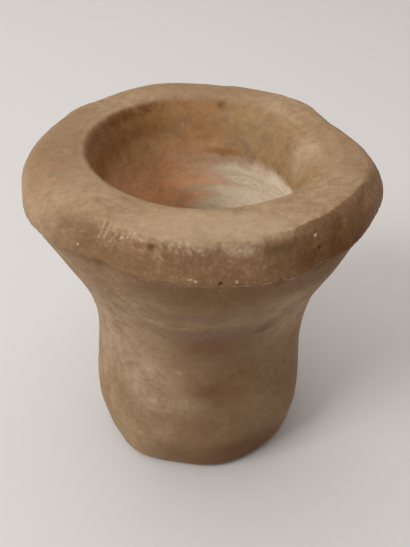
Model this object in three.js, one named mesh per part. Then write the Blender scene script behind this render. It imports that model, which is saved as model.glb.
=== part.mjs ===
// A small hand-carved alabaster vase: a waisted body on a flat foot, a broad heavy rim,
// a funnel mouth and a deep drilled bore. Millimetres, +Z up, origin at the foot's centre.
import * as THREE from "three";

// Outside, from the foot up
const height = 94;
const footDiameter = 60;
const footRounding = 4.4;
const bellyDiameter = 64;
const bellyHeight = 16;
const waistDiameter = 60;
const waistHeight = 41;
const rimDiameter = 90; // at the rim's lower edge
const rimThickness = 9.6;
const rimLean = 2.2; // how far the rim's side leans in on its way up
const rimRounding = 2;
const neckInset = 0.8; // how far the flare stands in behind the rim's lower edge
const neckSlope = 0.42; // how fast the flare widens with height where it meets the rim

// Inside, from the mouth down
const rimWidth = 13; // flat top, from the rim's lower edge to where it turns into the mouth
const lipDepth = 4.5;
const lipReach = 5;
const mouthShift = 2; // the mouth was opened off centre, towards the back
const funnelDepth = 13;
const ledgeWidth = 0.7; // the faint step where the funnel meets the bore
const waistWall = 6.6;
const boreTaper = 2.6; // how much narrower the bore is at its floor, on each side
const boreFloorRounding = 9;
const floorThickness = 17;

// How finely the surface is divided
const turnSteps = 84;
const roundingSteps = 4;

// Where the rim's outline was carved or knocked out of round: at is the angle round the axis and
// spread the half width, both in degrees, and push is a share of the rim's radius, inwards if positive
const rimOutline = [
  { at: 23, spread: 27, push: 0.064 },
  { at: 50, spread: 8, push: 0.014 },
  { at: 64, spread: 14, push: 0.012 },
  { at: 83, spread: 10, push: 0.012 },
  { at: 109, spread: 21, push: -0.034 },
  { at: 138, spread: 13, push: 0.022 },
  { at: 158, spread: 12, push: 0.01 },
  { at: 190, spread: 22, push: -0.022 },
  { at: 238, spread: 19, push: 0.034 },
  { at: 291, spread: 18, push: -0.014 },
  { at: 324, spread: 18, push: 0.014 },
  { at: 350, spread: 14, push: -0.022 },
];

// Flakes off the rim's upper edge, each a flat facet. at and reach, the half length, are in degrees;
// width, how far it runs in over the top, and depth, how far it cuts down, share the rim's radius
const flakes = [
  { at: 222, reach: 30, width: 0.06, depth: 0.05 },
  { at: 252, reach: 8, width: 0.04, depth: 0.03 },
  { at: 290, reach: 8, width: 0.13, depth: 0.035 },
  { at: 318, reach: 32, width: 0.055, depth: 0.07 },
  { at: 20, reach: 30, width: 0.06, depth: 0.025 },
];

// Broad swellings and hollows in the body's side. at is in degrees; up, reach and push share the height
const swellings = [
  { at: 214, up: 0.08, reach: 0.13, push: 0.009 },
  { at: 262, up: 0, reach: 0.24, push: 0.02 },
  { at: 305, up: 0.05, reach: 0.2, push: 0.012 },
  { at: 0, up: 0.62, reach: 0.36, push: -0.013 },
  { at: 180, up: 0.66, reach: 0.25, push: -0.007 },
];

const degrees = Math.PI / 180;
const rimRadius = rimDiameter / 2;
const waistRadius = waistDiameter / 2;
const bellyRadius = bellyDiameter / 2;
const rimBottom = height - rimThickness;
const rimTopRadius = rimRadius - rimLean;
const mouthRadius = rimRadius - rimWidth;
const boreRadius = waistRadius - waistWall;

// The outer profile from the axis under the foot up to the rim's upper edge, as [radius, height] points
function outerProfile() {
  const footRadius = footDiameter / 2;
  const footTop = new THREE.Vector2(footRadius + (bellyRadius - footRadius) * 0.3, footRounding);
  const footEdge = new THREE.QuadraticBezierCurve(
    new THREE.Vector2(footRadius - footRounding * 0.8, 0),
    new THREE.Vector2(footRadius, 0),
    footTop,
  );
  const belly = new THREE.Vector2(bellyRadius, bellyHeight);
  const waist = new THREE.Vector2(waistRadius, waistHeight);
  const neck = new THREE.Vector2(rimRadius - neckInset, rimBottom);
  const neckLength = (rimBottom - waistHeight) * 0.45;
  const lowerBody = new THREE.QuadraticBezierCurve(
    footTop,
    new THREE.Vector2(bellyRadius, bellyHeight - (bellyHeight - footRounding) * 0.6),
    belly,
  );
  const flare = new THREE.CubicBezierCurve(
    waist,
    new THREE.Vector2(waistRadius, waistHeight + (rimBottom - waistHeight) * 0.38),
    new THREE.Vector2(neck.x - neckLength * neckSlope, neck.y - neckLength),
    neck,
  );
  return [
    new THREE.Vector2(0, 0),
    ...footEdge.getPoints(roundingSteps),
    ...lowerBody.getPoints(3).slice(1),
    ...upright(belly, waist).getPoints(5).slice(1),
    ...flare.getPoints(9).slice(1),
    new THREE.Vector2(rimRadius - neckInset * 0.2, rimBottom + neckInset * 0.4),
    new THREE.Vector2(rimRadius - rimLean * 0.4, rimBottom + (rimThickness - rimRounding) * 0.5),
    ...roundedCorner(rimTopRadius - rimRounding, height - rimRounding, rimRounding, 0, 90),
  ];
}

// The inner profile from the flat top down to the axis on the floor
function innerProfile() {
  const funnelFoot = height - funnelDepth;
  const floorRadius = boreRadius - boreTaper;
  const floorEdge = floorThickness + boreFloorRounding;
  const lip = new THREE.QuadraticBezierCurve(
    new THREE.Vector2(mouthRadius, height),
    new THREE.Vector2(mouthRadius - lipReach * 0.6, height),
    new THREE.Vector2(mouthRadius - lipReach, height - lipDepth),
  );
  const bore = new THREE.LineCurve(
    new THREE.Vector2(boreRadius, funnelFoot - ledgeWidth),
    new THREE.Vector2(floorRadius, floorEdge),
  );
  return [
    new THREE.Vector2((mouthRadius + rimTopRadius) / 2, height),
    ...lip.getPoints(roundingSteps),
    new THREE.Vector2(boreRadius + ledgeWidth, funnelFoot),
    ...bore.getPoints(5),
    ...roundedCorner(floorRadius - boreFloorRounding, floorEdge, boreFloorRounding, 0, -90).slice(1),
    new THREE.Vector2(0, floorThickness),
  ];
}

// A curve between two points that leaves and arrives upright
function upright(from, to) {
  const third = (to.y - from.y) / 3;
  return new THREE.CubicBezierCurve(
    from,
    new THREE.Vector2(from.x, from.y + third),
    new THREE.Vector2(to.x, to.y - third),
    to,
  );
}

// Points along an arc about [radius, up], from one angle to another in degrees
function roundedCorner(radius, up, size, from, to) {
  const arc = new THREE.EllipseCurve(radius, up, size, size, from * degrees, to * degrees, to < from);
  return arc.getPoints(roundingSteps);
}

// 1 at distance 0, falling smoothly to 0 at reach
function fade(distance, reach) {
  return 1 - THREE.MathUtils.smoothstep(Math.abs(distance), 0, reach);
}

// The turn from one angle to another, all in degrees, between -180 and 180
function turnBetween(from, to) {
  return THREE.MathUtils.euclideanModulo(to - from + 180, 360) - 180;
}

// Pushes a point towards the axis
function pushIn(point, amount) {
  const radius = Math.hypot(point.x, point.y);
  if (radius > 0) {
    point.x *= 1 - amount / radius;
    point.y *= 1 - amount / radius;
  }
}

// Moves a point that stands out of a flake's facet back onto it
function flatten(point, width, depth, outline) {
  const slope = depth / width;
  const out = Math.hypot(point.x, point.y) - (rimTopRadius - outline - width);
  const excess = (point.z - height + slope * out) / (1 + slope * slope);
  if (excess > 0) {
    pushIn(point, slope * excess);
    point.z -= excess;
  }
}

// Moves one point of the true turned outside to where the carver and time left it
function wearOutside(point) {
  const { x, y, z } = point;
  const radius = Math.hypot(x, y);
  const angle = Math.atan2(y, x) / degrees;
  const turned = (places, size) => places.reduce((sum, place) => sum + size(place, turnBetween(place.at, angle)), 0);

  const outline = rimRadius * turned(rimOutline, ({ spread, push }, turn) => push * fade(turn, spread));
  const onRim = THREE.MathUtils.smoothstep(z, rimBottom - rimThickness * 1.2, rimBottom)
    * THREE.MathUtils.smoothstep(radius, mouthRadius, rimTopRadius - rimRounding);
  pushIn(point, outline * onRim);

  const swelling = height * turned(swellings, ({ up, reach, push }, turn) =>
    push * fade(Math.hypot(turn * degrees * radius / height, z / height - up), reach));
  pushIn(point, swelling);

  for (const { at, reach, width, depth } of flakes) {
    const share = rimRadius * fade(Math.max(0, Math.abs(turnBetween(at, angle)) - reach / 2), reach / 2);
    if (share > 0) {
      flatten(point, width * share, depth * share, outline);
    }
  }
}

// The whole vase: one closed profile turned about the axis, then made uneven
function vaseGeometry() {
  const outer = outerProfile();
  const profile = [...outer, ...innerProfile()];
  const geometry = new THREE.LatheGeometry(profile, turnSteps);
  geometry.rotateX(Math.PI / 2);
  const position = geometry.getAttribute("position");
  const point = new THREE.Vector3();
  for (let i = 0; i < position.count; i++) {
    point.fromBufferAttribute(position, i);
    if (i % profile.length < outer.length) {
      wearOutside(point);
    } else {
      point.y += mouthShift * THREE.MathUtils.smoothstep(point.z, height - funnelDepth, height);
    }
    position.setXYZ(i, point.x, point.y, point.z);
  }
  geometry.computeVertexNormals();
  return geometry;
}

const alabaster = new THREE.MeshStandardMaterial({ name: "alabaster", color: 0xab9072, roughness: 0.55, metalness: 0 });

const vase = new THREE.Mesh(vaseGeometry(), alabaster);
vase.name = "vase";

const object = new THREE.Group();
object.add(vase);

export default object;
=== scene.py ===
import math

import bpy
import numpy as np
from mathutils import Matrix, Vector, geometry, noise


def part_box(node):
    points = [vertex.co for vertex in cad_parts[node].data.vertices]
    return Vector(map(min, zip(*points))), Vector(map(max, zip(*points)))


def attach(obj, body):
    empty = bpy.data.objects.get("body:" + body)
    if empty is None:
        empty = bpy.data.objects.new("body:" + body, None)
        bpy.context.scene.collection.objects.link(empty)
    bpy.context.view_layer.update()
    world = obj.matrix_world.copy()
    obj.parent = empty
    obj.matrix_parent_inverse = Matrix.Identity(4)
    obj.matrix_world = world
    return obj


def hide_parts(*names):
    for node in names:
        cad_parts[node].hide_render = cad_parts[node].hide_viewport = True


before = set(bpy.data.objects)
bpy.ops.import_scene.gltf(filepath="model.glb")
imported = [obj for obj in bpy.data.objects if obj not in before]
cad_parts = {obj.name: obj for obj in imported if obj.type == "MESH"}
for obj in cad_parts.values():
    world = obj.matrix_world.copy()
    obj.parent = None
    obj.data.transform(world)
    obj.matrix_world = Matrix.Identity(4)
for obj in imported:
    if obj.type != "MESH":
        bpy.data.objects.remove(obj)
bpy.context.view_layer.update()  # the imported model, at rest and in metres
mm = 0.001


# Camera, where the photograph was taken from

photoView = {
    "width": 410,  # pixels of the photograph
    "height": 547,
    "focalPixels": 650,  # the lens, in the same pixels
    "sensor": 36,  # mm along the picture's long side
    "distance": 166.5 * mm,  # from the middle of the rim's top
    "elevation": 26.77,  # degrees that the camera stands above the rim's top
    "tilt": 11.1,  # degrees that it then looks further down
    "turn": 0.43,
    "roll": 1.17,
}


def addCamera(v):
    data = bpy.data.cameras.new("photoCamera")
    data.sensor_width = v["sensor"]
    data.lens = v["focalPixels"] / max(v["width"], v["height"]) * v["sensor"]
    data.clip_start = 10 * mm
    camera = bpy.data.objects.new("photoCamera", data)
    bpy.context.scene.collection.objects.link(camera)
    up = math.radians(v["elevation"])
    place = Vector((0, -v["distance"] * math.cos(up), v["distance"] * math.sin(up)))
    place.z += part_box("vase")[1].z
    lookDown = Matrix.Rotation(math.radians(90 - v["elevation"] - v["tilt"]), 4, "X")
    turned = Matrix.Rotation(-math.radians(v["turn"]), 4, "Y")
    rolled = Matrix.Rotation(math.radians(v["roll"]), 4, "Z")
    camera.matrix_world = Matrix.Translation(place) @ lookDown @ turned @ rolled
    bpy.context.scene.camera = camera


addCamera(photoView)
print("camera in place")


# The vase's sizes, from the foot up and then down the inside, and how rough it was left

vaseShape = {
    "height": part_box("vase")[1].z,
    "footRadius": 30 * mm,
    "footRounding": 3.5 * mm,
    "bellyRadius": 32 * mm,
    "bellyHeight": 16 * mm,
    "waistRadius": 30 * mm,
    "waistHeight": 41 * mm,
    "rimRadius": 45 * mm,  # at the rim's lower edge
    "rimThickness": 9.6 * mm,
    "rimLean": 2.2 * mm,
    "rimRounding": 1.5 * mm,
    "rimBead": 0.2 * mm,  # the fine raised line along the rim's lower edge
    "neckInset": 0.8 * mm,
    "neckSlope": 0.42,
    "mouthRadius": 32 * mm,
    "lipDepth": 4.5 * mm,
    "lipReach": 5 * mm,
    "lipTurn": 8,  # degrees round to where the lip eases into the rim; opposite, it is sharp
    "lipEasing": 1.3 * mm,  # how far it sinks there
    "lipLift": 0.6,  # how far it stands up opposite, as a share of that
    "mouthShift": 2 * mm,  # the mouth was opened off centre, towards the back
    "funnelDepth": 13 * mm,
    "ledgeWidth": 0.7 * mm,
    "boreRadius": 23.4 * mm,
    "boreTaper": 2.6 * mm,
    "boreFloorRounding": 9 * mm,
    "floorThickness": 17 * mm,
    "midWall": [(0, 24), (16, 24), (41, 24.6), (62, 27), (80, 31), (90, 32.1)],  # in the stone, mm
    "sides": 80,
    "crowding": 0.3,  # draws the sides together at the front, where the finest marks are
    "weld": 0.01 * mm,
    "fineStretch": (-146, -18),  # degrees of the rim's front that are divided once more
    "edgeRadius": 38 * mm,  # what lies further out is the rim's edge
    "flakeRaggedness": 0.15,
    "patinaShadeReach": 16 * mm,  # how far the rim's dark side, patina and painted shade under the rim, fades out down the neck
    "patinaShadeGap": (205, 72, 0.8),  # angle, half width and share of the stretch without it, the left side that faces the light and gets no painted shade
    "patinaFlakes": (312, 75, 0.95),  # the same of the stretch where the flakes are dark too
    "lumpSize": 15 * mm,
    "lumpDepth": 0.26 * mm,
    "rippleSize": 4.5 * mm,
    "rippleDepth": 0.06 * mm,
    "crumbSize": 1.3 * mm,
    "crumbDepth": 0.06 * mm,
    "toolRingPitch": 0.42 * mm,
    "toolRingDepth": 0.03 * mm,
}

# Where the rim was carved or knocked out of round: angle, half width and how far it was pushed in,
# as a share of the rim's radius
rimOutline = [
    (24, 26, 0.062), (50, 8, 0.014), (64, 14, 0.012), (83, 10, 0.012), (109, 21, -0.034),
    (138, 13, 0.022), (158, 12, 0.004), (184, 16, -0.012), (206, 20, -0.018), (240, 18, 0.034),
    (291, 18, -0.014), (322, 18, 0.004), (347, 15, -0.014),
]

# Flat flakes off the rim's upper edge: angle, half length, width over the top and depth as shares
# of the rim's radius, and softness in mm
flakes = [
    (222, 30, 0.06, 0.05, 2.6), (252, 8, 0.04, 0.03, 0.8), (280, 8, 0.03, 0.05, 0.5),
    (292.5, 7, 0.062, 0.036, 0.3), (318, 32, 0.055, 0.07, 1.2), (8, 44, 0.04, 0.045, 3.5),
    (186, 46, 0.04, 0.04, 3.5), (95, 60, 0.02, 0.02, 2),
]

# Where the rim's side was left rounded: angle, half width, how far the middle stands out and
# how far the lower edge stands in, in mm
rimBulges = [
    (14, 44, 1.9, 0.5), (340, 26, 0.5, 0.3), (160, 44, 1.7, 0.5), (204, 32, 0.6, 0.3),
    (250, 20, 0, 0.4), (90, 60, 1.2, 0.6),
]

# Hollows in the side, and swellings where the push is below 0: angle, height, reach and push
# as shares of the height
swellings = [
    (214, 0.08, 0.13, 0.009), (262, 0, 0.24, 0.02), (305, 0.05, 0.2, 0.012),
    (0, 0.62, 0.36, -0.013), (180, 0.66, 0.25, -0.007), (327, 0.2, 0.12, -0.012),
    (322, 0.78, 0.2, -0.009), (218, 0.78, 0.2, -0.006), (236, 0, 0.12, -0.005),
]


def curve(start, handle, otherHandle, end, steps):
    points = [Vector((r, 0, z)) for r, z in (start, handle, otherHandle, end)]
    return [(p.x, p.z) for p in geometry.interpolate_bezier(*points, steps + 1)][1:]


def straight(start, end, steps):
    shares = [i / steps for i in range(1, steps + 1)]
    return [(start[0] + (end[0] - start[0]) * t, start[1] + (end[1] - start[1]) * t) for t in shares]


def arc(middle, radius, fromAngle, toAngle, steps):
    turns = [math.radians(fromAngle + (toAngle - fromAngle) * i / steps) for i in range(1, steps + 1)]
    return [(middle[0] + radius * math.cos(t), middle[1] + radius * math.sin(t)) for t in turns]


def outerProfile(s):
    # radius and height pairs, from the edge of the flat underside up to the rim's side
    flat = (s["footRadius"] - s["footRounding"] * 0.8, 0)
    footTop = (s["footRadius"] + (s["bellyRadius"] - s["footRadius"]) * 0.3, s["footRounding"])
    belly = (s["bellyRadius"], s["bellyHeight"])
    waist = (s["waistRadius"], s["waistHeight"])
    rimBottom = s["height"] - s["rimThickness"]
    neck = (s["rimRadius"] - s["neckInset"], rimBottom)
    bellyHandle = 4 * mm
    waistHandle = (waist[1] - belly[1]) / 3
    flareHeight = rimBottom - s["waistHeight"]
    neckHandle = flareHeight * 0.45
    profile = [flat]
    profile += curve(flat, (s["footRadius"] - s["footRounding"] * 0.2, 0),
                     (s["footRadius"] + 0.2 * mm, s["footRounding"] * 0.4), footTop, 3)
    profile += curve(footTop, (s["bellyRadius"] - 0.4 * mm, s["footRounding"] + bellyHandle),
                     (belly[0], belly[1] - bellyHandle), belly, 3)
    profile += curve(belly, (belly[0], belly[1] + waistHandle),
                     (waist[0], waist[1] - waistHandle), waist, 5)
    profile += curve(waist, (waist[0], waist[1] + flareHeight * 0.38),
                     (neck[0] - neckHandle * s["neckSlope"], neck[1] - neckHandle), neck, 9)
    profile += [
        (s["rimRadius"] - s["neckInset"] * 0.3, rimBottom + s["neckInset"] * 0.25),
        (s["rimRadius"] + s["rimBead"], rimBottom + 0.9 * mm),
        (s["rimRadius"] - s["rimLean"] * 0.12, rimBottom + 1.9 * mm),
    ]
    return profile


def vaseProfile(s):
    # the outside, and on over the rim and down the inside to near the middle of the floor
    rimTop = s["rimRadius"] - s["rimLean"]
    roundingFoot = s["height"] - s["rimRounding"]
    lipFoot = (s["mouthRadius"] - s["lipReach"], s["height"] - s["lipDepth"])
    funnelFoot = s["height"] - s["funnelDepth"]
    floorRadius = s["boreRadius"] - s["boreTaper"]
    floorEdge = s["floorThickness"] + s["boreFloorRounding"]
    profile = outerProfile(s)
    profile += straight(profile[-1], (rimTop, roundingFoot), 3)
    profile += arc((rimTop - s["rimRounding"], roundingFoot), s["rimRounding"], 0, 90, 2)
    profile += straight(profile[-1], (s["mouthRadius"], s["height"]), 5)
    profile += curve(profile[-1], (s["mouthRadius"] - s["lipReach"] * 0.4, s["height"]),
                     (lipFoot[0] + s["lipReach"] * 0.25, lipFoot[1] + s["lipDepth"] * 0.4), lipFoot, 3)
    profile += straight(lipFoot, (s["boreRadius"] + s["ledgeWidth"], funnelFoot), 3)
    profile += straight((s["boreRadius"], funnelFoot - s["ledgeWidth"]), (floorRadius, floorEdge), 6)
    profile += arc((floorRadius - s["boreFloorRounding"], floorEdge), s["boreFloorRounding"], 0, -90, 2)
    profile += straight(profile[-1], (floorRadius * 0.15, s["floorThickness"]), 1)
    return profile


def turnVase(s):
    bpy.ops.object.select_all(action="DESELECT")
    profile = vaseProfile(s)
    bpy.ops.mesh.primitive_circle_add(vertices=s["sides"], radius=profile[0][0], fill_type="NOTHING")
    vase = bpy.context.object
    vase.name = "vaseStone"
    bpy.ops.object.mode_set(mode="EDIT")
    bpy.ops.mesh.select_all(action="SELECT")
    # the flat underside closes inwards first
    lastShare = 1
    for share in (0.55, 0.12):
        bpy.ops.mesh.extrude_edges_move()
        scale = share / lastShare
        bpy.ops.transform.resize(value=(scale, scale, 1), center_override=(0, 0, 0))
        lastShare = share
    bpy.ops.mesh.merge(type="CENTER")
    # then each ring of the outside, the rim and the inside follows from the one before
    bpy.ops.mesh.select_all(action="DESELECT")
    bpy.ops.mesh.select_mode(type="EDGE")
    bpy.ops.mesh.select_non_manifold()
    for (radius, up), (nextRadius, nextUp) in zip(profile, profile[1:]):
        bpy.ops.mesh.extrude_edges_move(TRANSFORM_OT_translate={"value": (0, 0, nextUp - up)})
        scale = nextRadius / radius
        bpy.ops.transform.resize(value=(scale, scale, 1), center_override=(0, 0, nextUp))
    bpy.ops.mesh.merge(type="CENTER")
    bpy.ops.mesh.select_all(action="SELECT")
    bpy.ops.mesh.remove_doubles(threshold=s["weld"])
    bpy.ops.mesh.normals_make_consistent(inside=False)
    bpy.ops.object.mode_set(mode="OBJECT")
    return vase


def readVertices(vase, what):
    flat = np.empty(len(vase.data.vertices) * 3)
    vase.data.vertices.foreach_get(what, flat)
    return flat.reshape(-1, 3)


def writePoints(vase, points):
    vase.data.vertices.foreach_set("co", points.ravel())
    vase.data.update()


def smooth(value, low, high):
    # 0 at low, rising smoothly to 1 at high
    t = np.clip((value - low) / (high - low), 0, 1)
    return t * t * (3 - 2 * t)


def fade(distance, reach):
    # 1 at distance 0, falling smoothly to 0 at reach
    return 1 - smooth(np.abs(distance), 0, reach)


def turnBetween(start, end):
    # degrees from one angle to the other, between -180 and 180
    return (end - start + 180) % 360 - 180


def polar(points):
    radius = np.hypot(points[:, 0], points[:, 1])
    return radius, np.degrees(np.arctan2(points[:, 1], points[:, 0])), points[:, 2].copy()


def pushIn(points, amount):
    radius = np.maximum(np.hypot(points[:, 0], points[:, 1]), 0.01 * mm)
    share = np.where(radius > 0.05 * mm, 1 - amount / radius, 1)
    points[:, 0] *= share
    points[:, 1] *= share


def cloud(points, size, octaves, seed):
    # soft fractal noise from about -1 to 1, with features of that size
    shift = Vector((seed * 7.3, seed * 3.1, seed * 5.7))
    return np.array([noise.fractal(Vector(p) / size + shift, 0.9, 2.1, octaves) for p in points])


def overhang(value, softness):
    # the part of a value above 0, with the turn rounded off
    share = np.clip(0.5 + 0.5 * value / softness, 0, 1)
    return value * share + softness * share * (1 - share)


def keepMask(vase, name, values):
    # a value for each point that the stone's material reads
    layer = vase.data.attributes.new(name, "FLOAT", "POINT")
    layer.data.foreach_set("value", np.asarray(values, dtype=np.float32))


def crowdFront(vase, s):
    points = readVertices(vase, "co")
    radius, angle, _ = polar(points)
    turned = np.radians(angle - np.degrees(s["crowding"]) * np.sin(np.radians(angle + 90)))
    points[:, 0] = radius * np.cos(turned)
    points[:, 1] = radius * np.sin(turned)
    writePoints(vase, points)


def subdivide(vase):
    subdivision = vase.modifiers.new("subdivision", "SUBSURF")
    subdivision.levels = 2
    subdivision.render_levels = 2
    bpy.ops.object.modifier_apply(modifier=subdivision.name)


def refineFront(vase, s):
    # the front of the rim, with its chips and scratches, is divided once more
    lowest = s["height"] - s["rimThickness"] - 2 * mm
    start, end = s["fineStretch"]
    for polygon in vase.data.polygons:
        x, y, z = polygon.center
        onEdge = math.hypot(x, y) > s["edgeRadius"] + 0.5 * mm and z > lowest
        polygon.select = onEdge and start < math.degrees(math.atan2(y, x)) < end
    bpy.ops.object.mode_set(mode="EDIT")
    bpy.ops.mesh.select_mode(type="FACE")
    bpy.ops.mesh.subdivide(number_cuts=1, smoothness=0)
    bpy.ops.object.mode_set(mode="OBJECT")


def isInside(points, s):
    # the faces of the mouth and bore, before any wear
    radius, _, up = polar(points)
    heights, radii = np.array(s["midWall"]).T * mm
    return (radius < np.interp(up, heights, radii)) & (up > 1 * mm)


def outlineShare(radius, up, s):
    # how far the rim's outline is felt: fully on its side, and not in the mouth or down the body
    rimBottom = s["height"] - s["rimThickness"]
    share = smooth(up, rimBottom - s["rimThickness"] * 1.2, rimBottom)
    return share * smooth(radius, s["mouthRadius"], s["rimRadius"] - s["rimLean"] - 2 * mm)


def sideSwelling(radius, angle, up, s):
    return s["height"] * sum(
        push * fade(np.hypot(np.radians(turnBetween(at, angle)) * radius, up - share * s["height"]),
                    reach * s["height"])
        for at, share, reach, push in swellings
    )


def sideRounding(radius, angle, up, s):
    share = np.clip((up - s["height"]) / s["rimThickness"] + 1, -1, 1)  # of the rim's height
    amount = sum(
        fade(turnBetween(at, angle), spread)
        * (inwards * mm * fade(share, 0.45) - outwards * mm * np.sin(np.pi * share.clip(0)))
        for at, spread, outwards, inwards in rimBulges
    )
    return amount * smooth(radius, s["rimRadius"] - 8 * mm, s["rimRadius"] - 3 * mm)


def patinaAndShade(angle, up, inner, s):
    # where the rim's side is dark: some patina, and painted shade on the front and right, away from the
    # light, and on the neck under the rim
    rimBottom = s["height"] - s["rimThickness"]
    at, spread, share = s["patinaShadeGap"]
    mask = smooth(up, rimBottom - s["patinaShadeReach"], rimBottom + 1 * mm) * ~inner
    mask = mask * (1 - smooth(up, s["height"] - 1.6 * mm, s["height"] - 0.2 * mm))
    return mask * (1 - share * fade(turnBetween(at, angle), spread))


def knockFlakes(points, inner, angle, up, outline, s):
    # cuts each flake's facet and gives back where the surface went
    worn = np.zeros(len(points))
    ragged = 1 + s["flakeRaggedness"] * cloud(points, 7 * mm, 3, 4)
    rimTop = s["rimRadius"] - s["rimLean"]
    elsewhere = inner | (up < s["height"] - s["rimThickness"])
    for at, reach, width, depth, softness in flakes:
        pastMiddle = np.maximum(0, np.abs(turnBetween(at, angle)) - reach / 2)
        share = s["rimRadius"] * fade(pastMiddle, reach / 2) * ragged
        slope = depth / width
        beyond = np.hypot(points[:, 0], points[:, 1]) - (rimTop - outline - width * share)
        excess = points[:, 2] - s["height"] + slope * beyond
        excess = overhang(excess, softness * mm) / (1 + slope * slope)
        excess = np.where(elsewhere | (share <= 0), 0, excess) * smooth(share, 0, 0.3 * s["rimRadius"])
        pushIn(points, slope * excess)
        points[:, 2] -= excess
        worn = np.maximum(worn, smooth(excess, 0, 0.3 * mm))
    return worn


def openMouth(points, inner, radius, angle, up, s):
    # the mouth stands off centre, sharp on the left and easing gently into the rim on the right
    onTop = up > s["height"] - 0.6 * mm
    outwards = smooth(radius, s["mouthRadius"], s["rimRadius"] - s["rimLean"] - 2 * mm)
    shift = np.where(inner, 1, np.where(onTop, 1 - outwards, 0))
    points[:, 1] += s["mouthShift"] * shift * smooth(up, s["height"] - s["funnelDepth"], s["height"])
    side = np.cos(np.radians(angle - s["lipTurn"]))
    side = np.sign(side) * smooth(np.abs(side), 0.25, 1)
    easing = fade(radius - s["mouthRadius"] + 1.5 * mm, 5 * mm) * (inner | onTop)
    lift = s["lipLift"] * fade(radius - s["mouthRadius"] + 2.5 * mm, 2.3 * mm) * inner
    points[:, 2] -= s["lipEasing"] * np.maximum(0, side) * easing
    points[:, 2] += s["lipEasing"] * np.maximum(0, -side) * lift


def carve(vase, s):
    points = readVertices(vase, "co")
    inner = isInside(points, s)
    radius, angle, up = polar(points)
    outline = s["rimRadius"] * sum(
        push * fade(turnBetween(at, angle), spread) for at, spread, push in rimOutline
    )
    moved = outline * outlineShare(radius, up, s)
    moved = moved + sideSwelling(radius, angle, up, s) + sideRounding(radius, angle, up, s)
    pushIn(points, np.where(inner, 0, moved))
    worn = knockFlakes(points, inner, angle, up, outline, s)
    openMouth(points, inner, radius, angle, up, s)
    writePoints(vase, points)
    at, spread, share = s["patinaFlakes"]
    darkFlakes = share * worn * fade(turnBetween(at, angle), spread)
    keepMask(vase, "mouthDepth", np.clip((s["height"] - up) / mm, 0, 5) * inner)
    # the rim's dark side for the material: patina, painted shade and the dark flake scars
    keepMask(vase, "rimPatinaAndShade", np.maximum(patinaAndShade(angle, up, inner, s), darkFlakes))


def roughen(vase, s):
    points = readVertices(vase, "co")
    normals = readVertices(vase, "normal")
    radius, _, up = polar(points)
    inner = isInside(points, s)
    onEdge = radius > s["edgeRadius"]
    rimBottom = s["height"] - s["rimThickness"]
    lump = s["lumpDepth"] * cloud(points, s["lumpSize"], 2, 1)
    lump = lump + s["rippleDepth"] * cloud(points, s["rippleSize"], 2, 2)
    crumb = s["crumbDepth"] * cloud(points, s["crumbSize"], 2, 3)
    rings = s["toolRingDepth"] * np.sin(up / s["toolRingPitch"] + 3 * cloud(points, 9 * mm, 2, 5))
    rings = rings * (up < 80 * mm) * (up > 30 * mm)
    # the rim's side is crumbly, and its two edges most of all
    side = smooth(up, rimBottom - 1.4 * mm, rimBottom + 0.6 * mm)
    side = side * (1 - smooth(up, s["height"] - 2 * mm, s["height"] - 0.5 * mm)) * onEdge
    edge = np.maximum(fade(up - s["height"], 3 * mm), fade(up - rimBottom - 0.1 * mm, 2 * mm)) * onEdge
    outerLift = lump * (1 - 0.4 * edge) + crumb * (0.25 + 1.4 * edge + side)
    lift = np.where(inner, lump * 0.5 + rings + crumb * 0.6, outerLift)
    lift = lift * smooth(up, 0.2 * mm, 2.5 * mm)
    points += normals * lift[:, None]
    points[:, 2] = np.minimum(points[:, 2], s["height"] + 0.1 * mm)
    writePoints(vase, points)


# Chips at the front: place in mm, the way the break faces, reach and depth in mm
chips = [
    ((-21, -35.8, 91), (-0.4, -0.7, 0.6), 4.2, 0.45),
    ((-16.6, -38.6, 91.6), (-0.3, -0.72, 0.62), 3.6, 0.5),
    ((-13, -40, 92.4), (-0.25, -0.78, 0.58), 2.8, 0.5),
    ((-9.8, -41.6, 92.2), (-0.1, -0.8, 0.6), 2.4, 0.7),
    ((-6, -42.4, 92.2), (-0.15, -0.8, 0.58), 2.6, 0.2),
    ((3, -42.6, 92.6), (0.1, -0.85, 0.5), 3.4, 0.12),
    ((11, -42, 91.8), (0.2, -0.85, 0.5), 2, 0.2),
    ((23.5, -36, 91.2), (0.5, -0.75, 0.45), 2.2, 0.25),
    ((30, -30, 91.2), (0.6, -0.65, 0.45), 2.8, 0.35),
    ((36.5, -20.5, 91.4), (0.8, -0.4, 0.45), 3, 0.35),
    ((40, -12, 91.4), (0.85, -0.25, 0.45), 2.5, 0.35),
    ((-28, -32.4, 89.6), (-0.6, -0.7, 0.35), 5, 0.3),
    ((-24, -34.6, 89), (-0.4, -0.85, 0.3), 4, 0.25),
    ((17.2, -41.2, 84.2), (0.3, -0.75, -0.55), 2.5, 0.35),
    ((-21, -37.4, 84), (-0.4, -0.7, -0.55), 3, 0.4),
    ((-6, -44, 84.6), (-0.1, -0.8, -0.55), 2.2, 0.25),
    ((26, -35.8, 85), (0.5, -0.6, -0.55), 3, 0.35),
    # and plainer ones round the back
    ((-12, 42, 92), (-0.3, 0.75, 0.55), 3.5, 0.4),
    ((24, 35, 91.5), (0.5, 0.65, 0.55), 4, 0.45),
    ((-36, 24, 91.5), (-0.7, 0.5, 0.5), 4.5, 0.45),
    ((8, 44, 84.8), (0.1, 0.8, -0.55), 3, 0.35),
    ((-30, 33, 84.8), (-0.6, 0.6, -0.55), 3.5, 0.4),
    ((22, 22, 1), (0.6, 0.6, -0.5), 3.5, 0.35),
    ((-26, 14, 1), (-0.75, 0.4, -0.5), 4, 0.4),
]

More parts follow.
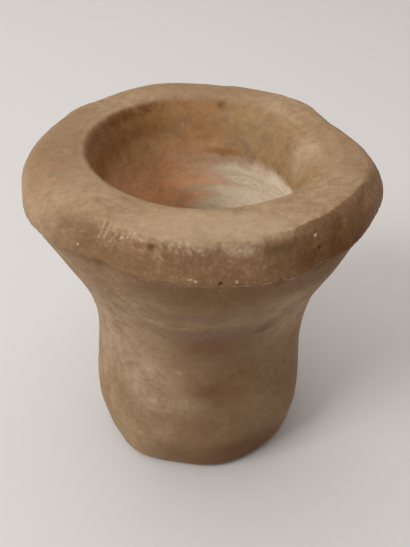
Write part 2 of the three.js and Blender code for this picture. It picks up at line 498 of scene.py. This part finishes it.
# Scratches and tool marks at the front: both ends in mm, width and depth in mm
scratches = [
    ((-21.9, -35.4, 90.7), (-20.4, -33.8, 93.4), 0.34, 0.16),
    ((-20.7, -36.3, 90.6), (-19.2, -34.8, 93.6), 0.38, 0.18),
    ((-19.4, -37.2, 90.9), (-18, -36.4, 93.3), 0.34, 0.14),
    ((-17.1, -38.3, 91.6), (-14.9, -38.4, 93.4), 0.36, 0.16),
    ((-13.7, -38.5, 93.6), (-12.1, -40.5, 92.8), 0.32, 0.12),
    ((-28.3, -32.1, 89.6), (-25, -33.6, 90.3), 0.3, 0.1),
    ((-8.8, -42.2, 91.6), (-7.9, -42.9, 89.9), 0.34, 0.16),
    ((13.4, -43.1, 84), (20, -39.6, 83.4), 0.32, 0.18),
    ((9, -44.2, 84.6), (16, -42, 84.6), 0.3, 0.12),
    ((-12, -41.9, 84.2), (-5, -43.9, 84.4), 0.3, 0.12),
]

# Pits: place in mm, radius and depth in mm, and how dark the pit is
pits = [
    ((4.3, -44.6, 85.5), 0.75, 0.7, 1),
    ((-9.8, -41.6, 92.2), 0.9, 0.5, 0.1),
    ((25.4, -35.8, 88.9), 0.8, 0.5, 0.7),
    ((17.2, -41.5, 84), 0.8, 0.5, 0.9),
    ((19, -40.4, 84), 0.8, 0.45, 0.9),
    ((11.9, -43.6, 85.8), 0.5, 0.35, 0.4),
    ((-8.3, -31.5, 57.7), 0.4, 0.1, 0.3),
    ((2.7, -34, 61.6), 0.7, 0.25, 0.25),
    ((22.2, -25.7, 61.2), 0.8, 0.35, 0.35),
    ((9, -28.6, 40.8), 0.9, 0.25, 0.2),
    ((-14.4, -27, 41.2), 0.9, 0.2, 0.1),
    ((5, 30, 92.1), 1.1, 0.4, 0.3),
    ((6.5, 42.6, 93), 1.6, 0.7, 0.2),
]


def gapTo(points, place):
    return np.linalg.norm(points - place, axis=1)


def nearestPoint(points, place):
    # the point of the surface nearest to a place in mm
    return points[np.argmin(gapTo(points, np.array(place) * mm))].copy()


def breakStone(vase):
    points = readVertices(vase, "co")
    normals = readVertices(vase, "normal")
    scraped = np.zeros(len(points))
    pitted = np.zeros(len(points))
    ragged = cloud(points, 1.3 * mm, 3, 6)
    for place, facing, reach, depth in chips:
        away = np.array(Vector(facing).normalized())
        pastMiddle = np.maximum(0, gapTo(points, np.array(place) * mm) - reach * mm * 0.45)
        within = fade(pastMiddle, reach * mm * 0.55)
        height = (points - nearestPoint(points, place)) @ away
        cut = overhang(height + (depth + 0.16 * ragged) * mm, 0.1 * mm) * within
        points -= cut[:, None] * away
        scraped = np.maximum(scraped, fade(cut - 0.06 * mm, 0.06 * mm) * within * 0.2)
    for start, end, width, depth in scratches:
        first = nearestPoint(points, start)
        along = nearestPoint(points, end) - first
        share = np.clip(((points - first) @ along) / (along @ along), 0, 1)
        taper = 0.4 + 0.6 * np.sin(np.pi * share)
        gap = np.linalg.norm(points - first - share[:, None] * along, axis=1) * (1 + 0.15 * ragged)
        points -= normals * (fade(gap, width * mm) * taper * depth * mm)[:, None]
        scraped = np.maximum(scraped, fade(gap, width * 1.2 * mm) * (0.4 + 3 * depth))
    for place, radius, depth, darkness in pits:
        gap = gapTo(points, nearestPoint(points, place)) * (1 + 0.25 * ragged)
        points -= normals * (fade(gap, radius * mm) * depth * mm)[:, None]
        pitted = np.maximum(pitted, fade(gap, radius * 0.9 * mm) * darkness)
    writePoints(vase, points)
    keepMask(vase, "scraped", scraped)
    keepMask(vase, "pitted", pitted)


vase = turnVase(vaseShape)
crowdFront(vase, vaseShape)
subdivide(vase)
refineFront(vase, vaseShape)
carve(vase, vaseShape)
roughen(vase, vaseShape)
breakStone(vase)
bpy.ops.object.shade_smooth()
vase.data.calc_loop_triangles()
print("vase turned and carved,", len(vase.data.loop_triangles), "triangles")


# The stone: wires between nodes, written as expressions

class Wire:
    def __init__(self, tree, socket=None):
        self.tree = tree
        self.socket = socket

    def node(self, kind, settings, values, output=0):
        made = self.tree.nodes.new(kind)
        for name, setting in settings.items():
            setattr(made, name, setting)
        for name, value in values.items():
            if isinstance(value, Wire):
                self.tree.links.new(value.socket, made.inputs[name])
            else:
                made.inputs[name].default_value = value
        return Wire(self.tree, made.outputs[output])

    def maths(self, operation, first, second):
        return self.node("ShaderNodeMath", {"operation": operation}, {0: first, 1: second})

    def __add__(self, other):
        return self.maths("ADD", self, other)

    def __sub__(self, other):
        return self.maths("SUBTRACT", self, other)

    def __rsub__(self, other):
        return self.maths("SUBTRACT", other, self)

    def __mul__(self, other):
        return self.maths("MULTIPLY", self, other)

    def between(self, low, high):
        # 0 at low, rising or falling smoothly to 1 at high
        return self.node("ShaderNodeMapRange", {"interpolation_type": "SMOOTHSTEP"},
                         {"Value": self, "From Min": low, "From Max": high})

    def blend(self, colour, otherColour):
        # from one colour at 0 to the other at 1
        return self.node("ShaderNodeMix", {"data_type": "RGBA"}, {0: self, 6: colour, 7: otherColour}, 2)

    def tinted(self, share, colour):
        # this colour, moved by that share towards the other one
        return share.blend(self, colour)

    def noise(self, size, detail, roughness, distortion=0):
        return self.node("ShaderNodeTexNoise", {}, {
            "Vector": self, "Scale": 1 / size, "Detail": detail,
            "Roughness": roughness, "Distortion": distortion})

    def stretched(self, x, y, z):
        return self.node("ShaderNodeVectorMath", {"operation": "MULTIPLY"}, {0: self, 1: (x, y, z)})

    def rotated(self, x, y, z):
        return self.node("ShaderNodeMapping", {},
                         {"Vector": self, "Rotation": (math.radians(x), math.radians(y), math.radians(z))})

    def parts(self):
        split = self.node("ShaderNodeSeparateXYZ", {}, {"Vector": self})
        return [Wire(self.tree, socket) for socket in split.socket.node.outputs]

    def near(self, place, size, core):
        # 1 within the core of an egg-shaped patch, a share of its size in mm, and 0 outside it
        offset = self.node("ShaderNodeVectorMath", {"operation": "SUBTRACT"}, {0: self, 1: place})
        offset = offset.stretched(*[1 / side for side in size])
        distance = offset.node("ShaderNodeVectorMath", {"operation": "LENGTH"}, {0: offset}, 1)
        return distance.between(1, core)


stoneLook = {
    "pale": (0.352, 0.238, 0.138, 1),
    "deep": (0.248, 0.153, 0.078, 1),
    "milky": (0.455, 0.345, 0.23, 1),
    "patinaAndShade": (0.2, 0.1, 0.043, 1),
    "shadeAndGrime": (0.118, 0.043, 0.006, 1),
    "lipShade": (0.205, 0.088, 0.024, 1),
    "brownStainAndShade": (0.165, 0.084, 0.031, 1),
    "russetStainAndShade": (0.148, 0.06, 0.018, 1),
    "rustAndGlow": (0.88, 0.51, 0.285, 1),
    "rosy": (0.55, 0.31, 0.21, 1),
    "amber": (0.32, 0.152, 0.05, 1),
    "umber": (0.17, 0.07, 0.022, 1),
    "tan": (0.47, 0.34, 0.23, 1),
    "cream": (0.68, 0.59, 0.435, 1),
    "ochre": (0.315, 0.197, 0.088, 1),
    "olive": (0.15, 0.085, 0.034, 1),
    "pink": (0.4, 0.19, 0.125, 1),
    "greyPink": (0.21, 0.125, 0.085, 1),
    "chalk": (0.62, 0.5, 0.36, 1),
    "black": (0.03, 0.02, 0.014, 1),
    "wisps": 0.35,  # strength of the milky wisps
    "roughness": 0.72,
    "polish": 0.16,  # how much less rough the paler stone is
    "specular": 0.22,
    "subsurface": 0.25,
    "subsurfaceRadius": (1.0, 0.6, 0.35),
    "subsurfaceScale": 2.5 * mm,
    "bumpStrength": 0.42,
    "bumpHeight": 0.5 * mm,
}

# Where the bore's colours begin and are full: turns in degrees from the back round to the left,
# and heights in mm
boreZones = {
    "leftTurn": (168, 120),  # the left side's colours end towards the front
    "amberTurn": (-32, 12),
    "rustGlowTurn": (-26, 16),
    "rustGlowHeight": (88, 70),
    "lipShadeTurn": (6, 44),
    "lipShadeHeight": (82, 88),
    "lipTurn": (4, 30),
    "lipHeight": (90.5, 92),
    "cleanTurn": (34, -22),
    "cleanFrontTurn": (-168, -120),
    "cleanHeight": (81.2, 79),
    "creamHeight": (77.6, 74),
}

# Stains, with painted shade and a painted highlight among them: colour, strength, patchiness, place and
# size in mm
stainsAndPaintedLight = [
    ("milky", 0.7, 0.3, (2, -37, 95), (30, 9, 4)),
    ("pale", 0.8, 0.3, (-4, -37, 95), (34, 9, 4)),
    ("milky", 0.6, 0.4, (27, 5, 88), (7, 11, 9)),
    ("deep", 0.9, 0.5, (-36, 0, 94), (17, 36, 7)),
    ("deep", 0.8, 0.5, (0, 38, 94), (44, 13, 7)),
    ("deep", 0.6, 0.5, (36, 4, 94), (14, 30, 6)),
    ("olive", 0.9, 0.1, (14.8, -40.2, 91.9), (4.2, 3.6, 1.9)),
    ("olive", 0.9, 0.2, (17.4, -39.2, 91.6), (4.6, 3.4, 2)),
    ("milky", 0.8, 0.5, (8.6, -42.6, 92.2), (5.4, 3, 1.8)),
    # a painted highlight along the bead of the rim's lower edge at the front
    ("chalk", 0.45, 0.6, (8, -43, 84.4), (24, 14, 0.6)),
    # painted shade on the neck under the rim's right side
    ("brownStainAndShade", 0.9, 0.4, (28, -31, 78.5), (20, 14, 9)),
    ("brownStainAndShade", 0.5, 0.5, (-28, -31, 91.5), (10, 8, 3)),
    ("brownStainAndShade", 0.35, 0.9, (-37, -8, 94), (9, 20, 6)),
    ("umber", 0.9, 0.3, (-10, -41.3, 91.9), (1.5, 2, 0.9)),
    # painted shade on the rim's front right side, away from the light, with dark dirt
    ("shadeAndGrime", 1, 0.5, (32, -33, 87.3), (27, 21, 7.5)),
    ("brownStainAndShade", 0.6, 0.6, (-25, -36, 87), (20, 12, 6)),
    # painted shade under the rim at the front
    ("brownStainAndShade", 0.75, 0.5, (5, -42, 78), (34, 16, 13)),
    # the body darker and browner on its right, front and low down: partly its own colour, partly painted
    # shade away from the light
    ("brownStainAndShade", 0.6, 0.4, (30, -20, 26), (32, 30, 38)),
    ("brownStainAndShade", 1, 0.4, (6, -31, 8), (32, 16, 15)),
    ("brownStainAndShade", 0.8, 0.4, (6, -33, 52), (24, 16, 24)),
    ("brownStainAndShade", 0.8, 0.5, (5, -31, 26), (20, 14, 18)),
    ("russetStainAndShade", 1, 0.2, (17, -26, 7), (22, 18, 13)),
    ("greyPink", 0.7, 0.5, (4, -37, 69.5), (26, 12, 2.6)),
    ("greyPink", 0.8, 0.4, (6, -33, 60), (26, 12, 5)),
    ("russetStainAndShade", 0.4, 0.7, (2, -31, 55), (13, 8, 8)),
    ("milky", 0.2, 1, (-2, -34, 64.4), (24, 12, 3)),
    ("greyPink", 0.5, 0.4, (8, -30, 48), (20, 12, 5)),
    ("umber", 0.4, 1, (9, -29, 38), (15, 8, 13)),
    ("umber", 0.35, 1, (-16, -27, 30), (18, 12, 16)),
    ("umber", 0.85, 0.2, (3.8, -29.9, 36.2), (2.4, 3, 1.7)),
    ("olive", 0.7, 0.4, (2, -29.9, 36.6), (6, 8, 4)),
    ("umber", 0.6, 0.2, (9.4, -28.6, 40.8), (1.8, 2, 1.8)),
    ("umber", 0.75, 0.4, (15.9, -29, 59.4), (3.4, 4, 3.4)),
    ("ochre", 0.4, 0.5, (-23, -21, 10), (14, 14, 11)),
    ("milky", 0.45, 0.8, (-14, -28, 35), (19, 12, 13)),
    ("milky", 0.2, 0.8, (-4, -31, 29), (17, 8, 5)),
    ("brownStainAndShade", 0.5, 0.9, (4, -30, 38), (18, 10, 16)),
    ("milky", 0.5, 1, (-16, -25.7, 35), (6, 4, 5)),
    ("milky", 0.3, 1, (-1, -30.5, 32), (7, 5, 3.4)),
    ("milky", 0.3, 1, (-11, -28.5, 29.5), (10, 5, 3)),
    ("chalk", 0.3, 1, (28.8, 6.4, 91.2), (2.4, 3, 1.4)),
    ("milky", 0.15, 1, (14, -28, 30), (12, 8, 9)),
    ("russetStainAndShade", 0.3, 0.8, (12, -30, 36), (16, 12, 16)),
    ("milky", 0.5, 0.8, (-28, -18, 48), (12, 14, 18)),
    ("milky", 0.8, 0.6, (-13.8, -27, 41.2), (3.4, 3, 1.2)),
    ("milky", 0.4, 0.5, (-5.2, -29.5, 43), (1.8, 3, 1.3)),
    ("amber", 0.9, 0.3, (6, 23.4, 80.6), (9, 6, 1.5)),
    ("umber", 0.8, 0.4, (5, 30, 92.1), (2.6, 3, 2.2)),
]

# Speckled red on the rim's left: place and size in mm
blushes = [
    ((-34.4, -4.7, 94), (4, 3, 3)), ((-36.3, -12, 94), (5, 5, 3)), ((-35, -17, 93.8), (4, 4, 3)),
    ((-37.5, -22, 92.5), (4, 4, 3)),
]

# White specks: place and size in mm
specks = [
    ((-2, -44.5, 86.4), (0.8, 3, 0.35)), ((-0.9, -44.6, 86.1), (0.5, 3, 0.35)),
    ((7.6, -44.2, 86), (0.45, 3, 0.55)), ((-26.4, -34.1, 87.3), (0.5, 0.6, 0.5)),
    ((24.3, -34.5, 91.3), (0.6, 1.5, 0.4)), ((-21, -36.8, 83.4), (0.6, 1, 0.3)),
]


def boreColour(place, broad, spots, ragged, look, zones):
    # ochre, painted shade under the lip, rust red on the left with a painted glow of light through the
    # wall, and cream where it was scraped clean, painted brighter deeper down
    across, backwards, up = place.parts()
    turn = place.maths("ARCTAN2", 0 - across, backwards) * (180 / math.pi)
    fingers = place.stretched(0.25, 0.25, 1.2).noise(6, 3, 0.6, 0.8) - 0.5
    arcs = place.rotated(6, 0, 0).stretched(0.6, 0.6, 4).noise(13, 6, 0.74, 1.1)
    blotches = place.noise(9, 6, 0.68, 0.5)
    left = (turn + ragged * 40).between(*zones["leftTurn"])
    tone = broad * 0.2 + blotches * 0.45 + spots * 0.35
    colour = tone.between(0.41, 0.59).blend(look["deep"], look["ochre"])
    warmed = (turn + ragged * 90).between(*zones["amberTurn"]) * left
    colour = colour.tinted(warmed * (blotches.between(0.35, 0.6) * 0.5 + 0.4), look["amber"])
    # the left wall: a rust red stain, with a painted glow of light shining through the stone
    rustedAndGlowing = (turn - fingers * 110).between(*zones["rustGlowTurn"]) * left
    rustedAndGlowing = rustedAndGlowing * (up + ragged * 9).between(*zones["rustGlowHeight"])
    colour = colour.tinted(rustedAndGlowing * (arcs.between(0.35, 0.6) * 0.2 + 0.75), look["rustAndGlow"])
    colour = colour.tinted(rustedAndGlowing * blotches.between(0.48, 0.6) * 0.5, look["rosy"])
    # painted shade on the upper left of the bore, under the lip, where the wall faces away from the light
    underLipShade = (turn + ragged * 70).between(*zones["lipShadeTurn"]) * left
    underLipShade = underLipShade * (up + ragged * 10).between(*zones["lipShadeHeight"])
    colour = colour.tinted(underLipShade * (spots.between(0.38, 0.58) * 0.55 + 0.4), look["lipShade"])
    # a dark line of painted shade just under the lip's edge
    lipLine = (turn + ragged * 90).between(*zones["lipTurn"]) * left
    lipLine = lipLine * (up + ragged * 4).between(*zones["lipHeight"])
    colour = colour.tinted(lipLine * spots.between(0.32, 0.6) * 0.75, look["shadeAndGrime"])
    cleanedAndLit = (turn - fingers * 150).between(*zones["cleanTurn"])
    cleanedAndLit = cleanedAndLit * (turn + ragged * 40).between(*zones["cleanFrontTurn"])
    cleanedAndLit = cleanedAndLit * (up + ragged * 7).between(*zones["cleanHeight"])
    colour = colour.tinted(cleanedAndLit * 0.8, look["tan"])
    # deeper down, cream: partly the scraped whiter stone, partly painted light that keeps the deep bore
    # bright
    cleanedAndLit = cleanedAndLit * (up + ragged * 7 + turn * 0.06).between(*zones["creamHeight"])
    return colour.tinted(cleanedAndLit * (arcs.between(0.38, 0.58) * 0.45 + 0.5), look["cream"])


def scratchedWhite(place, mottle):
    # fine strokes that run up over the rim's front edge, and the frosting along it
    strokes = place.rotated(0, 0, 28).rotated(0, -20, 0).stretched(4.5, 1, 1)
    strokes = strokes.noise(2, 3, 0.6).between(0.52, 0.66)
    strokes = strokes * place.near((-19, -37, 92), (6, 4, 2.6), 0.4) * 0.8
    frost = place.stretched(1.6, 1, 1).noise(1.5, 4, 0.7).between(0.44, 0.62)
    frost = frost * place.near((1, -42.6, 92.7), (17, 3.4, 1.9), 0.4)
    return strokes + frost * (mottle.between(0.4, 0.54) * 0.6 + 0.25)


def alabaster(look, zones):
    material = bpy.data.materials.new("stainedAlabaster")
    material.use_nodes = True
    tree = material.node_tree
    shader = tree.nodes["Principled BSDF"]
    wire = Wire(tree)
    objectPlace = wire.node("ShaderNodeTexCoord", {}, {}, "Object")
    place = wire.node("ShaderNodeVectorMath", {"operation": "SCALE"}, {0: objectPlace, "Scale": 1 / mm})
    mouthDepth, rimPatinaAndShade, scraped, pitted = [
        wire.node("ShaderNodeAttribute", {"attribute_name": name}, {}, "Fac")
        for name in ("mouthDepth", "rimPatinaAndShade", "scraped", "pitted")
    ]

    broad = place.noise(24, 4, 0.6, 0.6)
    mottle = place.noise(6, 5, 0.62, 0.3)
    spots = place.noise(2.2, 4, 0.68)
    grain = place.noise(0.8, 3, 0.65)
    streaks = place.stretched(1, 1, 3).noise(10, 6, 0.68, 0.4)
    wisps = place.stretched(1, 1, 1.15).noise(7, 7, 0.72, 0.6)
    ragged = place.noise(4, 6, 0.72) - 0.5

    # the outside: tan, cloudy with milky wisps, darker round the rim's side with patina and painted shade
    tone = broad * 0.36 + mottle * 0.34 + streaks * 0.05 + spots * 0.25
    colour = tone.between(0.38, 0.61).blend(look["deep"], look["pale"])
    colour = colour.tinted(wisps.between(0.54, 0.72) * look["wisps"], look["milky"])
    # the rim's side and the neck under it: patina, and painted shade on the front and right, away from the
    # light
    sideShade = (rimPatinaAndShade + ragged * 0.8).between(0.25, 0.75)
    colour = colour.tinted(sideShade * (mottle.between(0.3, 0.62) * 0.35 + 0.5), look["patinaAndShade"])
    rubbed = (grain * 0.5 + spots * 0.5).between(0.5, 0.66) * 0.3
    colour = colour.tinted(sideShade * rubbed, look["pale"])

    inside = (mouthDepth * (ragged * 1.7 + 1)).between(0.2, 1.6)
    colour = colour.tinted(inside, boreColour(place, broad, spots, ragged, look, zones))

    patches = mottle.between(0.38, 0.56) * 0.55
    patches = patches + wisps.between(0.42, 0.6) * 0.3 + spots.between(0.42, 0.6) * 0.3
    for name, strength, patchiness, at, size in stainsAndPaintedLight:
        share = place.near(at, size, 0.2) * ((patches - 1) * patchiness + 1) * strength
        colour = colour.tinted(share, look[name])
    speckled = (spots * 0.6 + mottle * 0.4).between(0.4, 0.6) * 0.6
    for at, size in blushes:
        colour = colour.tinted(place.near(at, size, 0) * speckled, look["pink"])
    grainy = grain.between(0.25, 0.6)
    white = scraped + scratchedWhite(place, mottle)
    colour = colour.tinted(white * grainy * 0.45, look["chalk"])
    for at, size in specks:
        colour = colour.tinted(place.near(at, size, 0.3) * grainy * 0.85, look["chalk"])
    colour = colour.tinted(pitted, look["black"])

    # fine flecks of light and dark over it all
    fine = (grain - 0.5) * (sideShade * 0.3 + 0.34) + (spots - 0.5) * 0.4
    colour = wire.node("ShaderNodeHueSaturation", {}, {"Value": fine + 1.0, "Fac": 1.0, "Color": colour})
    tree.links.new(colour.socket, shader.inputs["Base Color"])
    roughness = look["roughness"] - tone.between(0.4, 0.65) * look["polish"]
    tree.links.new(roughness.socket, shader.inputs["Roughness"])
    shader.inputs["Subsurface Weight"].default_value = look["subsurface"]
    shader.inputs["Subsurface Radius"].default_value = look["subsurfaceRadius"]
    shader.inputs["Subsurface Scale"].default_value = look["subsurfaceScale"]
    shader.inputs["Specular IOR Level"].default_value = look["specular"]

    scrape = place.stretched(1, 1, 7).noise(5, 4, 0.6, 0.3)
    relief = mottle * 0.4 + spots * 0.25 + grain * (sideShade * 0.6 + 0.25) + scrape * 0.2
    bump = wire.node("ShaderNodeBump", {}, {
        "Strength": look["bumpStrength"], "Distance": look["bumpHeight"], "Height": relief})
    tree.links.new(bump.socket, shader.inputs["Normal"])
    return material


vase.data.materials.clear()
vase.data.materials.append(alabaster(stoneLook, boreZones))
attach(vase, "root")
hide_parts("vase")
print("stone finished")


# Floor and soft light

studio = {
    "floorSize": 4,
    "floorColour": (0.62, 0.605, 0.59, 1),
    "floorRoughness": 0.85,
    "floorSpecular": 0.2,
    "worldColour": (1, 0.92, 0.88, 1),
    "worldStrength": 0.385,
    "lampTarget": Vector((0, 0, 0.06)),
    "windowPlace": Vector((-0.84, -0.6, 0.98)),
    "windowSize": 0.5,
    "windowPower": 10.4,
    "windowColour": (0.97, 0.99, 1),
    "ceilingPlace": Vector((-0.35, 0.2, 1.28)),
    "ceilingSize": 2,
    "ceilingPower": 13.9,
    "ceilingColour": (1, 0.98, 0.96),
}


def addLamp(name, v):
    light = bpy.data.lights.new(name, "AREA")
    light.size = v[name + "Size"]
    light.energy = v[name + "Power"]
    light.color = v[name + "Colour"]
    lamp = bpy.data.objects.new(name, light)
    bpy.context.scene.collection.objects.link(lamp)
    place = v[name + "Place"]
    towards = v["lampTarget"] - place
    lamp.matrix_world = Matrix.Translation(place) @ towards.to_track_quat("-Z", "Y").to_matrix().to_4x4()


def addFloor(v):
    bpy.ops.object.select_all(action="DESELECT")
    bpy.ops.mesh.primitive_plane_add(size=v["floorSize"], location=(0, 0, 0))
    floor = bpy.context.object
    floor.name = "studioFloor"
    paper = bpy.data.materials.new("floorPaper")
    paper.use_nodes = True
    shader = paper.node_tree.nodes["Principled BSDF"]
    shader.inputs["Base Color"].default_value = v["floorColour"]
    shader.inputs["Roughness"].default_value = v["floorRoughness"]
    shader.inputs["Specular IOR Level"].default_value = v["floorSpecular"]
    floor.data.materials.append(paper)


def addRoom(v):
    world = bpy.data.worlds.new("softRoom")
    bpy.context.scene.world = world
    world.use_nodes = True
    background = world.node_tree.nodes["Background"]
    background.inputs["Color"].default_value = v["worldColour"]
    background.inputs["Strength"].default_value = v["worldStrength"]


addFloor(studio)
addRoom(studio)
addLamp("window", studio)
addLamp("ceiling", studio)
bpy.context.scene.view_settings.view_transform = "Standard"
print("studio lit")
